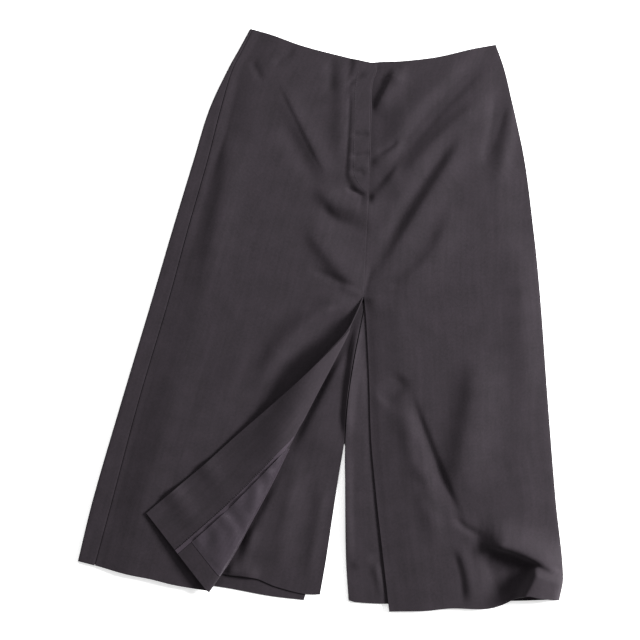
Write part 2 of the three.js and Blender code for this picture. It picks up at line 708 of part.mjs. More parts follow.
const garment = new THREE.Group();
function sew(name, geometry, material) {
  const mesh = new THREE.Mesh(geometry, material);
  mesh.name = name;
  garment.add(mesh);
}
sew("back_right", wall(rightBack), twill);
sew("back_left", wall(leftBack), twill);
sew("inner_front_right", wall(innerRight), innerTwill);
sew("inner_front_left", wall(innerLeft), innerTwill);
sew("front_right", wall(rightFront), twill);
sew("front_left", wall(leftFront), twill);
sew("fly_zip", wall(zipSheet, ZIP_CLOTH), zipTape);
const facing = [FACING_START + INSET, ALL_COLUMNS];
const binding = [BINDING_START + INSET, FACING_START - INSET];
const lining = [ROLL_END, BINDING_START - INSET];
sew("slit_facing_right", trim(facing, [TRIM_TOP, rows]), twill);
sew("facing_binding_right", trim(binding, [LINING_TOP, rows]), bindingTape);
sew("lining_right", trim(lining, [LINING_TOP, HEM_TOP - INSET]), satin);
sew("hem_allowance_right", trim(lining, [HEM_TOP, rows]), twill);

export default garment;
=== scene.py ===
# %% [markdown]
# # Wide cropped trousers with a split front
# The garment lies flat, front up, and is seen from straight above. Each panel is a thin sheet: a grid whose
# points are moved to where the cut, the folds and the layer below put them, and then given its thickness.
# All sizes are in millimetres, with +X to the wearer's left, +Y up to the waist and +Z off the table, and
# become metres when a mesh is written.

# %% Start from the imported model
import math

import bmesh
import bpy
import numpy as np
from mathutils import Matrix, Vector


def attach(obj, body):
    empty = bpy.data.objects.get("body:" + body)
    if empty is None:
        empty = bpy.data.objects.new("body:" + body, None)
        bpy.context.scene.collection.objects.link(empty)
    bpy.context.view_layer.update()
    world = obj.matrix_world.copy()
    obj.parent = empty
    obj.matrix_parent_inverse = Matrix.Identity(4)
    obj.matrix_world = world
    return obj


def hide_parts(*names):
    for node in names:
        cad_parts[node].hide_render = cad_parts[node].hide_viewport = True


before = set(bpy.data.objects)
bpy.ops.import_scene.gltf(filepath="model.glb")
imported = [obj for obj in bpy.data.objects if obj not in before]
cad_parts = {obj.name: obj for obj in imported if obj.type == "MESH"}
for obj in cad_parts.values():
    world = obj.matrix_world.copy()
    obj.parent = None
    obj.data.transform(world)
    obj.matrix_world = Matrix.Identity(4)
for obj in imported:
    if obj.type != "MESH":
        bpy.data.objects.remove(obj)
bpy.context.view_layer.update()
print("solids in the frame:", len(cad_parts))

# %% [markdown]
# ## The camera and the light
# The picture is taken from straight above with a long lens. A soft lamp stands low at the right, so each
# fold is bright on its right side and dark on its left. A weak one beyond the waist draws the folds that
# run across, and a pale world fills the rest.

# %% Camera, lamps and table
MM = 0.001
PICTURE_WIDTH = 896.0  # what 640 pixels show of the table
LENS, SENSOR = 85.0, 36.0
WORLD_STRENGTH = 0.38
TABLE_REACH = 4  # in metres, from the middle to each edge
TABLE_LEVEL = -0.0005  # in metres, just clear of the cloth

camera_data = bpy.data.cameras.new("camera")
camera_data.lens = LENS
camera_data.sensor_width = SENSOR
camera = bpy.data.objects.new("camera", camera_data)
camera.location = (0, 0, PICTURE_WIDTH * MM * LENS / SENSOR)
bpy.context.scene.collection.objects.link(camera)
bpy.context.scene.camera = camera
bpy.context.scene.view_settings.view_transform = "Standard"


def lamp(name, place, size, power):
    """A square soft lamp at a place, turned to the middle of the garment."""
    data = bpy.data.lights.new(name, "AREA")
    data.shape = "SQUARE"
    data.size = size
    data.energy = power
    light = bpy.data.objects.new(name, data)
    light.location = place
    light.rotation_euler = (-Vector(place)).to_track_quat("-Z", "Y").to_euler()
    bpy.context.scene.collection.objects.link(light)


lamp("key_lamp", place=(3.0, 0.64, 1.57), size=0.95, power=352)
lamp("fill_lamp", place=(0.1, 2.0, 1.5), size=1.6, power=28)

world = bpy.data.worlds.new("studio")
world.use_nodes = True
background = world.node_tree.nodes["Background"]
background.inputs["Color"].default_value = (1, 1, 1, 1)
background.inputs["Strength"].default_value = WORLD_STRENGTH
bpy.context.scene.world = world

table_mesh = bmesh.new()
bmesh.ops.create_grid(table_mesh, x_segments=1, y_segments=1, size=TABLE_REACH)
table_data = bpy.data.meshes.new("table")
table_mesh.to_mesh(table_data)
table_mesh.free()
table = bpy.data.objects.new("table", table_data)
table.location.z = TABLE_LEVEL
bpy.context.scene.collection.objects.link(table)
print("camera height in metres:", round(camera.location.z, 3))

# %% [markdown]
# ## The cut
# The long seams and edges are read across the garment at a few heights, as a tailor marks them, and the
# waist and hems along a few widths. A smooth curve goes through each column of a table.

# %% Sizes of the cloth and its layers
CLOTH = 1.2
TRIM_CLOTH = 0.8
GAP = 0.3
SEAM_GAP = 0.06
LAYER = CLOTH + GAP
BACK_LEVEL = CLOTH / 2
INNER_LEVEL = BACK_LEVEL + LAYER
OUTER_LEVEL = INNER_LEVEL + LAYER
ZIP_CLOTH = 1.0
LAP_RISE = ZIP_CLOTH + GAP + LAYER
LOFT = 4

SLIT_TOP = 33.6
FLY_END = 172
LAP_FADE = 140
INNER_TOP = 91
SINK_FROM = 128
SINK_TO = 95
CROTCH = -173.6


def columns_of(names, *rows):
    """A table as a dictionary of its named columns."""
    return {name: np.array([row[i] for row in rows]) for i, name in enumerate(names.split())}


def smooth(rows, key, column, at):
    """A column's value at values of the key column, on a smooth curve through the rows."""
    keys, values = rows[key], rows[column]
    if keys[0] > keys[-1]:
        keys, values = keys[::-1], values[::-1]
    last = len(keys) - 1
    before = np.maximum(np.arange(last + 1) - 1, 0)
    after = np.minimum(np.arange(last + 1) + 1, last)
    slopes = (values[after] - values[before]) / (keys[after] - keys[before])
    at = np.clip(at, keys[0], keys[-1])
    i = np.clip(np.searchsorted(keys, at, side="right") - 1, 0, last - 1)
    span = keys[i + 1] - keys[i]
    t = (at - keys[i]) / span
    s = 1 - t
    bend = s * s * t * span * slopes[i] - t * t * s * span * slopes[i + 1]
    return s * s * (1 + 2 * t) * values[i] + t * t * (1 + 2 * s) * values[i + 1] + bend


def x_at(rows, y, column="x"):
    return smooth(rows, "y", column, y)


def rise(value, low, high):
    """0 below low, 1 above high, and a soft step between."""
    t = np.clip((value - low) / (high - low), 0, 1)
    return t * t * (3 - 2 * t)


RIGHT_LINES = columns_of(
    "y side seam",
    (406.5, -98, -93.8),
    (380, -112.4, -107),
    (350, -129.1, -122.2),
    (294, -155.1, -138.6),
    (224, -176.7, -156.5),
    (126, -206.4, -184.4),
    (28, -235.2, -211),
    (-112, -277.1, -252.6),
    (-252, -317.9, -289.8),
    (-343, -340.0, -314.3),
)
LEFT_SIDE = columns_of(
    "y x",
    (385, 245.7),
    (350, 257.9),
    (294, 270.9),
    (224, 285.9),
    (126, 298.5),
    (28, 308),
    (-112, 318.2),
    (-252, 329.3),
    (-357, 339.6),
    (-391, 334),
)
CENTRE = columns_of(
    "y x",
    (357, 79.1),
    (347, 78.4),
    (329, 72.8),
    (294, 71.4),
    (238, 70),
    (175, 67.9),
    (105, 64.4),
    (SLIT_TOP, 60.9),
)
UNDERLAP = columns_of(
    "y x", (357, 53), (325, 46.5), (260, 44.8), (205, 44.8), (188, 53), (FLY_END, 68.1)
)
LEFT_SLIT = columns_of(
    "y x",
    (SLIT_TOP, 61.2),
    (0, 64.4),
    (-84, 68.6),
    (-168, 71.4),
    (-252, 79.1),
    (-308, 85.4),
    (-407.4, 96.6),
)
INNER_CENTRE = columns_of(
    "y x",
    (INNER_TOP, 64.2),
    (16.8, 61.6),
    (-14, 56),
    (-56, 47.6),
    (-112, 39.2),
    (-175, 35),
    (-224, 35),
    (-336, 36.4),
    (-392, 39.9),
)
RIGHT_INSEAM = columns_of("y x", (CROTCH, 33.6), (-224, 25.2), (-280, 16.8), (-336, 8.4), (-384, 0))
BACK_SEAM = columns_of(
    "y x", (357, 79), (300, 71), (168, 65), (28, 51), (-84, 38), (-140, 33.6), (CROTCH, 33)
)
RIGHT_BACK_INSEAM = columns_of("y x", (CROTCH, 33), (-280, 6), (-392, -22.4))
LEFT_BACK_INSEAM = columns_of("y x", (CROTCH, 35.4), (-280, 37.1), (-391, 41.3))

RIGHT_WAIST = columns_of("x y", (-98, 407.2), (-71.4, 399.7), (-25.2, 382.9), (38.9, 366.1), (79.1, 357))
LEFT_WAIST = columns_of(
    "x y", (53, 357), (82.6, 360.8), (114.8, 361.5), (165.9, 367.4), (216.3, 379.3), (245.7, 385)
)
RIGHT_HEM = columns_of(
    "x y", (-314.3, -343), (-270.9, -354.9), (-237.3, -361.6), (-203.7, -369.9), (-155.4, -378)
)
LEFT_HEM = columns_of(
    "x y",
    (96.6, -407.4),
    (148.4, -405.9),
    (182.7, -402.5),
    (233.1, -403.1),
    (259, -395.5),
    (284.2, -381.5),
    (301, -384),
    (334, -391),
)
INNER_RIGHT_HEM = columns_of(
    "x y",
    (-329, -328),
    (-200, -350),
    (-133, -355.6),
    (-92.4, -360.5),
    (-63, -372.4),
    (-22.4, -383),
    (0, -384),
)
INNER_LEFT_HEM = columns_of(
    "x y", (39.9, -392), (50.4, -394.8), (95.2, -396.9), (154, -394), (318, -386)
)
RIGHT_BACK_HEM = columns_of(
    "x y",
    (-337.9, -337.5),
    (-238, -357),
    (-157, -371),
    (-126, -375.9),
    (-70, -386.4),
    (-22.4, -392),
)
LEFT_BACK_HEM = columns_of("x y", (41.3, -391), (154, -392), (266, -393.1), (333.5, -391))
print("waist from side to side, in mm:", round(float(LEFT_WAIST["x"][-1] - RIGHT_WAIST["x"][0]), 1))


# %% Patches between four edges
def line(rows, column="x", to=None, start=None):
    """A long edge as points of the plan, for 0 at its top to 1 at its end."""
    top = rows["y"][0] if start is None else start
    end = rows["y"][-1] if to is None else to

    def edge(down):
        y = top + (end - top) * down
        return np.stack([x_at(rows, y, column), y], 1)

    return edge


def moved(edge, by):
    """An edge moved along X."""
    return lambda down: edge(down) + np.array([by, 0])


def patch(first, last, top, bottom):
    """Points of the plan inside four edges, for 0 to 1 across and down."""
    ends = np.array([0.0, 1.0])
    (p00, p01), (p10, p11) = first(ends), last(ends)

    def cross(rows, start, end, across):
        x = start[0] + (end[0] - start[0]) * across
        return np.stack([x, smooth(rows, "x", "y", x)], 1)

    def plan(across, down):
        s, t = across[:, None], down[:, None]
        long_way = (1 - s) * first(down) + s * last(down)
        short_way = (1 - t) * cross(top, p00, p10, across) + t * cross(bottom, p01, p11, across)
        corners = (1 - t) * ((1 - s) * p00 + s * p10) + t * ((1 - s) * p01 + s * p11)
        return long_way + short_way - corners

    return plan


# %% [markdown]
# ## The folds
# Laid cloth keeps the memory of hands and hangers: long soft pulls from the hips to the slit, a crease by
# the fly, and buckles in the left leg. Each one is a ridge along a bow through three points. It is steeper
# on one side than on the other, and it dies away at its ends.

# %% Tables of folds
FOLD_COLUMNS = "name x1 y1 x2 y2 x3 y3 height left right"
FRONT_FOLDS = columns_of(
    FOLD_COLUMNS,
    ("fly crease", -61.6, 333, -25, 262, 15.4, 185, 3.4, 18, 11),
    ("beside the fly crease", -56, 277, -29.4, 238, 0, 179, -2.4, 12, 15),
    ("right waist by the fly", 32, 364, 31, 294, 26.6, 210, 3, 10, 13),
    ("below the fly", 1.4, 193, 25, 161, 92.4, 152.6, 5.4, 16, 12.5),
    ("under that fold", -3, 171, 26.6, 134.4, 81, 131.6, -2.4, 10, 13),
    ("belly", -25, 143, 19.6, 80, 59, 42, 5, 24, 12),
    ("round the flap", 60, 32, -28, -11, -98, -106.4, 8, 12, 16),
    ("beside the flap", 39, 12.6, -15.4, -36.4, -81, -115, -4, 12, 12),
    ("right hip", -123, 266, -137, 168, -168, 28, 4, 20, 15),
    ("right leg", -182, -56, -224, -182, -266, -308, 3, 26, 26),
    ("right leg by the flap", -81, -35, -147, -112, -224, -224, 3, 26, 22),
    ("left diagonal", 248, 375, 168, 299.6, 75.6, 185, -6, 11, 11),
    ("below the left diagonal", 241, 313.6, 169.4, 256, 89.6, 164, 5, 18, 10),
    ("above the left diagonal", 215.6, 367, 151, 316.4, 92.4, 241, 3.5, 9, 18),
    ("second diagonal", 196, 266, 141.4, 190.4, 73, 75.6, -4, 10, 10),
    ("below the second diagonal", 213, 269, 145.6, 162.4, 70, 39, 5, 18, 9),
    ("third diagonal", 190.4, 168, 151, 84, 89.6, 39, 4, 20, 11),
    ("left hip valley", 255, 330.4, 243.6, 269, 224, 204.4, -4.5, 10, 10),
    ("left hip", 270, 315, 262, 252, 243.6, 182, 3.5, 10, 10),
    ("left side", 280, 126, 285.6, -14, 294, -154, 3, 18, 18),
    ("left leg middle", 224, -35, 207, -147, 185, -263, 9, 34, 21),
    ("left leg by the slit", 106.4, -106.4, 140, -210, 168, -336, 4, 12, 14),
    ("left hem", 192, -308, 206, -354, 214, -403, 4, 10, 11),
    ("left of the corner", 215.6, -302.4, 221, -347, 229.6, -397.6, 1.5, 8, 11),
    ("over the left corner", 218.4, -308, 280, -323.4, 347, -360, 21, 24, 7),
    ("left hem lip", 305, -334.6, 291, -367, 270, -403, 27, 58, 7),
    ("in the corner", 238, -322, 250.6, -353, 257.6, -395, -8, 18, 14),
    ("fly crease line", -63, 337.4, -28, 266, 11, 190.4, -1.8, 2.2, 9),
    ("right waist", 15.4, 371, 15.4, 341.6, 14, 308, -1.8, 8, 8),
    ("right waist corner", -33.6, 378, -50.4, 367, -67, 355.6, -1.5, 5, 5),
    ("right waist side", -95, 364, -89.6, 350, -78.4, 330.4, -1.5, 5, 5),
    ("fly hook", 40.6, 322, 47.6, 336, 67, 341.6, -2.4, 3.5, 3.5),
    ("fly line", 42, 333, 40, 266, 36.4, 190.4, -2, 3, 3),
    ("fly foot left", 33.6, 187.6, 49, 179, 67, 173.6, -3, 3.5, 3),
    ("right of the fly's foot", 66, 168, 89.6, 186, 116, 224, 3.4, 4, 11),
    ("fly upper pucker", 42, 260.4, 56, 257.6, 71.4, 260.4, -1.8, 3, 3.5),
    ("fly lower pucker", 40.6, 228, 57.4, 229.6, 75.6, 232.4, -3, 3.5, 3.5),
    ("below the fly pucker", 68.6, 215.6, 95, 232.4, 123, 252, 3, 4, 9),
    ("fly pucker's end", 78.4, 234, 95, 241, 112, 253.4, -3, 4, 4),
    ("fly middle pucker", 45, 210, 56, 215.6, 70, 213, 1.2, 4, 4),
    ("beside the lap, ridge", 109, 355.6, 94, 323.4, 73, 285.6, 5.5, 14, 5.5),
    ("waist by the centre", 117.6, 358.4, 112, 344.4, 101, 325, 1.5, 6, 6),
    ("smile line", 3, 171, 22.4, 141.4, 64.4, 137, -1, 5, 7),
    ("belly line", -28, 12.6, 3, 19.6, 36.4, 21, -1.2, 5, 5),
    ("belly second", -19.6, 73, 22.4, 56, 57.4, 38, -2, 6, 6),
    ("slit point left", 28, 49, 45, 40.6, 60, 33.6, 1.8, 5, 5),
    ("slit point right", 109, 47.6, 84, 43.4, 63, 33.6, 1.6, 6, 5),
    ("slit point up", 73, 81, 67, 56, 61.6, 33.6, -1.4, 4, 4),
    ("left knee", 117.6, -75.6, 101, -96.6, 82.6, -115, -4.4, 15, 12),
    ("left leg crease", 122, -91, 159.6, -190.4, 201.6, -288.4, -3.4, 4.5, 10),
    ("left leg crease's end", 185, -270, 204.4, -291, 228, -299.6, -2.6, 5, 5),
    ("left leg patch", 127.4, -159.6, 134.4, -182, 140, -210, -1.8, 8, 8),
    ("left leg lower patch", 134.4, -210, 145.6, -241, 162.4, -280, -1.6, 8, 9),
    ("left hem crease", 182, -316.4, 197.4, -355.6, 199, -403, -1.6, 4, 6),
    ("side seam upper", -117.6, 350, -134.4, 283, -157, 190.4, -2.6, 8, 6),
    ("fly third pucker", 42, 201.6, 53, 207, 64.4, 199, -1.6, 3, 3.5),
)
INNER_FOLDS = columns_of(
    FOLD_COLUMNS,
    ("left inner edge", 57, 14, 41, -91, 36, -182, 6, 7, 4),
    ("left inner edge, lower", 36, -168, 36, -252, 39, -357, 4, 8, 4),
    ("left inner cross", 42, -244, 59, -242, 76, -241, -2, 5, 5),
    ("left inner lower", 42, -344, 59, -339, 78, -329, 2.5, 6, 6),
    ("left inner hem", 73, -336, 84, -364, 92, -395, 3, 8, 6),
    ("beside the fold", 38, -28, 5, -115, -34, -199, 5.5, 42, 14),
    ("beside the fold, lower", -48, -210, -81, -280, -109, -344, 4, 36, 12),
    ("right inner hem lift", -137, -347, -112, -353, -81, -361, 5, 14, 8),
    ("right inner hem", -92, -280, -101, -319, -115, -350, 3, 8, 6),
    ("right inner middle", -28, -182, -45, -266, -62, -364, 3, 14, 12),
    ("right inner inseam", 7, -210, -6, -294, -20, -378, 2.5, 9, 8),
)
PATH_STEPS = 16
TAPER = 0.3
FOLD_REACH = 3  # in widths of a fold


def fold_heights(rows, x, y):
    """The sum of a table's folds over points of the plan."""
    total = np.zeros_like(x)
    steps = np.linspace(0, 1, PATH_STEPS + 1)[:, None]
    for i in range(len(rows["name"])):
        start, via, end = [np.array([rows[f"x{k}"][i], rows[f"y{k}"][i]], float) for k in (1, 2, 3)]
        control = 2 * via - (start + end) / 2
        path = (1 - steps) ** 2 * start + 2 * steps * (1 - steps) * control + steps**2 * end
        left, right = rows["left"][i].astype(float), rows["right"][i].astype(float)
        reach = FOLD_REACH * max(left, right)
        low, high = path.min(0) - reach, path.max(0) + reach
        near = np.nonzero((x > low[0]) & (x < high[0]) & (y > low[1]) & (y < high[1]))[0]
        if not len(near):
            continue
        px, py = x[near], y[near]
        best = np.full(len(near), np.inf)
        along = np.zeros(len(near))
        on_left = np.zeros(len(near), bool)
        for k in range(PATH_STEPS):
            d = path[k + 1] - path[k]
            t = np.clip(((px - path[k, 0]) * d[0] + (py - path[k, 1]) * d[1]) / (d @ d), 0, 1)
            ex, ey = px - path[k, 0] - t * d[0], py - path[k, 1] - t * d[1]
            distance = np.hypot(ex, ey)
            closer = distance < best
            best = np.where(closer, distance, best)
            along = np.where(closer, (k + t) / PATH_STEPS, along)
            on_left = np.where(closer, d[0] * ey - d[1] * ex > 0, on_left)
        taper = rise(np.minimum(along, 1 - along), 0, TAPER)
        width = np.where(on_left, left, right)
        total[near] += rows["height"][i].astype(float) * taper * np.exp(-((best / width) ** 2))
    return total


def not_below_zero(height):
    """A height that eases out to 0 where it would go below."""
    return (height + np.hypot(height, 1)) / 2


print("folds:", len(FRONT_FOLDS["name"]) + len(INNER_FOLDS["name"]))

# %% [markdown]
# ## How high each layer lies
# The backs lie on the table, the inner fronts on them and the outer fronts on top. Above the inner fronts'
# upper edges the outer fronts sink a layer. The lap of the fly stands over the underlap and the zip, and
# the left front bends down to the back along its side seam.

# %% Heights of the outer fronts
SEAM_FADE = 16
SIDE_FADE = 14
SLIT_FADE = 30
LOFT_REACH = 50
SLIT_LOFT = 0.3
SLIT_PRESS_REACH = 14
SLIT_PRESS_BEGIN = 8
SLIT_PRESS_LOW, SLIT_PRESS_HIGH = -400, -120
SLIT_PRESS = 0.85
SLIT_SINK = 0.18
LAP_REACH = 45
LAP_CLIMB_FROM, LAP_CLIMB_TO = -12, -1.5
UNDERLAP_FREE_FROM, UNDERLAP_FREE_TO = 1, 8


def rest_level(y):
    """How high an outer front lies before its folds are added."""
    return OUTER_LEVEL + (INNER_LEVEL - OUTER_LEVEL) * rise(y, SINK_TO, SINK_FROM)


def underlap_edge(y):
    return np.where(y > FLY_END, x_at(UNDERLAP, y), x_at(CENTRE, y) + SEAM_GAP)


def right_front_z(x, y):
    """Heights of the outer right front, at half its thickness."""
    from_seam = x - x_at(RIGHT_LINES, y, "seam")
    seam = 1 - rise(from_seam, 0, SEAM_FADE)
    from_underlap = x - underlap_edge(np.maximum(y, FLY_END))
    lap = rise(from_underlap, LAP_CLIMB_FROM, LAP_CLIMB_TO) * rise(y, LAP_FADE, FLY_END)
    loft = LOFT * rise(from_seam, 0, LOFT_REACH)
    folds = not_below_zero(loft + fold_heights(FRONT_FOLDS, x, y)) * (1 - seam)
    level = rest_level(y)
    return level + (OUTER_LEVEL - level) * seam + LAP_RISE * lap + folds


def left_front_z(x, y):
    """Heights of the outer left front, at half its thickness."""
    from_side = x_at(LEFT_SIDE, y) - x
    from_centre = x - x_at(CENTRE, y)
    from_slit = x - x_at(LEFT_SLIT, y)
    side = np.sqrt(1 - (1 - np.clip(from_side / SIDE_FADE, 0, 1)) ** 2)
    by_fly = rise(y, FLY_END - SIDE_FADE, FLY_END)
    under_lap = (1 - rise(from_centre, UNDERLAP_FREE_FROM, UNDERLAP_FREE_TO)) * by_fly
    by_slit = (1 - rise(from_slit, 0, LOFT_REACH)) * rise(SLIT_TOP - y, 0, SLIT_FADE)
    by_lap = (1 - rise(from_centre, 0, LAP_REACH)) * by_fly
    share = np.minimum(rise(from_side, 0, LOFT_REACH), 1 - (1 - SLIT_LOFT) * by_slit) * (1 - by_lap)
    folds = not_below_zero(LOFT * share + fold_heights(FRONT_FOLDS, x, y)) * side * (1 - under_lap)
    pressed = (1 - rise(from_slit, 0, SLIT_PRESS_REACH)) * rise(SLIT_TOP - y, 0, SLIT_PRESS_BEGIN)
    pressed = pressed * rise(y, SLIT_PRESS_LOW, SLIT_PRESS_HIGH)
    folds = folds * (1 - SLIT_PRESS * pressed) - SLIT_SINK * pressed
    return INNER_LEVEL + (rest_level(y) - INNER_LEVEL) * side + folds


# %% [markdown]
# ## The turned-back flap
# The right slit edge is folded over onto its own front. A table gives its sections from the slit's top to
# the hem: where the cloth turns, how far it has turned, and how high it stands. Near the slit the edge
# stands up, and towards the hem it lies down.

# %% Sections of the flap
FLAP = columns_of(
    "at foldX foldY edgeX edgeY roll turn reach shoulder edge",
    (0, 60.9, 33.6, 60.9, 33.6, 0, 60, 0, 0, 0),
    (0.06, 49.7, 8, 51, 9.5, 1.4, 85, 2, 5, 8),
    (0.13, 36.8, -21.9, 36.6, -16.5, 2.2, 98, 4, 11, 16),
    (0.22, 17.7, -59.2, 10, -44.6, 3.5, 110, 8, 19, 24),
    (0.34, -8.5, -108.5, -26.3, -81.6, 5, 125, 14, 22, 20),
    (0.48, -38, -166.6, -71.3, -122.1, 7.5, 146, 20, 14, 9),
    (0.62, -66.7, -225.2, -117.1, -161.8, 6, 152, 18, 8, 3.6),
    (0.76, -97.5, -282.6, -162.2, -202.1, 4.8, 155, 17, 6, 2.6),
    (0.88, -124.2, -331.7, -202, -235.4, 3.8, 158, 15, 5, 2.2),
    (1, -155.4, -378, -241.8, -268.8, 3, 162, 13, 4.2, 2),
)
EDGE_LIFTS = columns_of("at height width", (0.755, 3, 0.03), (0.89, 5, 0.035))
FRAME_STEP = 0.01
LEAN_FROM, LEAN_TO = 0.1, 0.4
TINY = 1e-6


def flap_value(column, at):
    return smooth(FLAP, "at", column, at)


def flap_points(columns, at):
    return np.stack([flap_value(name, at) for name in columns.split()], 1)


def fold_frame(at):
    """The fold's place, the way out from it in the plan, and its radius."""
    ends = [flap_points("foldX foldY", np.clip(at + way, 0, 1)) for way in (-FRAME_STEP, FRAME_STEP)]
    along = ends[1] - ends[0]
    along /= np.linalg.norm(along, axis=1, keepdims=True)
    out = np.stack([-along[:, 1], along[:, 0]], 1)
    return flap_points("foldX foldY", at), out, flap_value("roll", at)


def roll_start(at):
    fold, out, roll = fold_frame(at)
    return fold - out * roll[:, None]


def roll_points(at, share):
    """Points round the fold, from 0 where it leaves the lying cloth to 1 where the flap goes on."""
    fold, out, roll = fold_frame(at)
    angle = np.radians(flap_value("turn", at)) * share
    start = fold - out * roll[:, None]
    plan = fold + out * (roll * (np.sin(angle) - 1))[:, None]
    height = right_front_z(start[:, 0], start[:, 1]) + roll * (1 - np.cos(angle))
    return np.column_stack([plan, height])


def flap_surface(at, share):
    """Points of the flap, from 0 at the end of the fold to 1 at the free edge."""
    fold, out, roll = fold_frame(at)
    turn = np.radians(flap_value("turn", at))
    start = roll_points(at, np.ones_like(at))[:, :2]
    edge = flap_points("edgeX edgeY", at)
    row = edge - start
    row /= np.maximum(np.linalg.norm(row, axis=1, keepdims=True), TINY)
    lean = rise(at, LEAN_FROM, LEAN_TO)[:, None]
    way = row * lean - out * (1 - lean)
    way /= np.maximum(np.linalg.norm(way, axis=1, keepdims=True), TINY)
    reach = flap_value("reach", at)
    lift = np.zeros_like(at)
    for k in range(len(EDGE_LIFTS["at"])):
        bell = np.exp(-(((at - EDGE_LIFTS["at"][k]) / EDGE_LIFTS["width"][k]) ** 2))
        lift += EDGE_LIFTS["height"][k] * bell
    control = start - way * (np.cos(turn) * reach)[:, None]
    shoulder = edge + (start - edge) / 3
    height = roll * (1 - np.cos(turn))
    heights = [
        height,
        height + np.sin(turn) * reach,
        flap_value("shoulder", at),
        flap_value("edge", at) + lift,
    ]
    s, t = 1 - share, share
    weights = [s**3, 3 * s * s * t, 3 * s * t * t, t**3]
    plan = sum(w[:, None] * p for w, p in zip(weights, (start, control, shoulder, edge)))
    above = sum(w * h for w, h in zip(weights, heights))
    return np.column_stack([plan, right_front_z(plan[:, 0], plan[:, 1]) + above])


def turned_points(at, share):
    """Points of the flap, with shares below 0 on the top of the fold."""
    on_roll = share < 0
    points = flap_surface(at, np.maximum(share, 0))
    points[on_roll] = roll_points(at[on_roll], 1 + share[on_roll])
    return points


def flap_width(at):
    """The flap's width from the fold to the free edge."""
    gap = flap_points("edgeX edgeY", at) - flap_points("foldX foldY", at)
    return np.maximum(np.linalg.norm(gap, axis=1), 1)


print("flap at the hem, in mm:", round(float(flap_width(np.array([1.0]))[0]), 1))

# %% [markdown]
# ## Cloths and trims
# The twill is a fine wool blend: a steep diagonal rib, a soft nap that catches the light at a low angle and
# a little unevenness in its dye. All of it follows the cloth's own lengths, kept as a UV map in metres.


# %% Materials
RELIEF = 0.00012  # in metres
SHEEN_TINT = (0.62, 0.52, 0.6, 1)
SHEEN_ROUGHNESS = 0.45
SATIN_TINT = (0.97, 0.87, 0.98, 1)
TWILL_COLOUR = (0.016, 0.0121, 0.0158)
THREADS_NAP, FINE_GRAIN, SLOW_STREAKS, SHADE_SLOW = 0.6, 0.45, 0.4, 0.45
DARK_END, LIGHT_END = 0.36, 0.64
BANDS_PER_SCALE = 20 / (2 * math.pi)  # bands a metre of the wave texture at scale 1
TABLE_GLOW = 0.5


def nodes_of(name, colour, roughness, sheen, sheen_roughness, gloss=0.22):
    """A material with its shader's fixed values set, and its node tree."""
    material = bpy.data.materials.new(name)
    material.use_nodes = True
    tree = material.node_tree
    shader = tree.nodes["Principled BSDF"]
    shader.inputs["Base Color"].default_value = (*colour, 1)
    shader.inputs["Roughness"].default_value = roughness
    shader.inputs["Sheen Weight"].default_value = sheen
    shader.inputs["Sheen Roughness"].default_value = sheen_roughness
    shader.inputs["Specular IOR Level"].default_value = gloss
    shader.inputs["Sheen Tint"].default_value = SHEEN_TINT
    return material, tree, shader


def add(tree, kind, vector=None, **values):
    """A node with its values set, and its vector linked where one is given."""
    node = tree.nodes.new(kind)
    for name, value in values.items():
        if name in node.inputs:
            node.inputs[name].default_value = value
        else:
            setattr(node, name, value)
    if vector is not None:
        tree.links.new(vector, node.inputs["Vector"])
    return node


def noise(tree, vector, scale, detail):
    return add(tree, "ShaderNodeTexNoise", vector, Scale=scale, Detail=detail).outputs["Fac"]


def blend(tree, first, second, share):
    """Two textures mixed, with the second one's share."""
    node = add(tree, "ShaderNodeMix", data_type="FLOAT")
    node.inputs[0].default_value = share
    tree.links.new(first, node.inputs[2])
    tree.links.new(second, node.inputs[3])
    return node.outputs[0]


def two_tones(tree, shader, shade, dark, light):
    """A ramp from a dark to a light tone, as the shader's colour."""
    ramp = add(tree, "ShaderNodeValToRGB")
    ramp.color_ramp.elements[0].color = (*dark, 1)
    ramp.color_ramp.elements[1].color = (*light, 1)
    tree.links.new(shade, ramp.inputs["Fac"])
    tree.links.new(ramp.outputs["Color"], shader.inputs["Base Color"])
    return ramp.color_ramp.elements


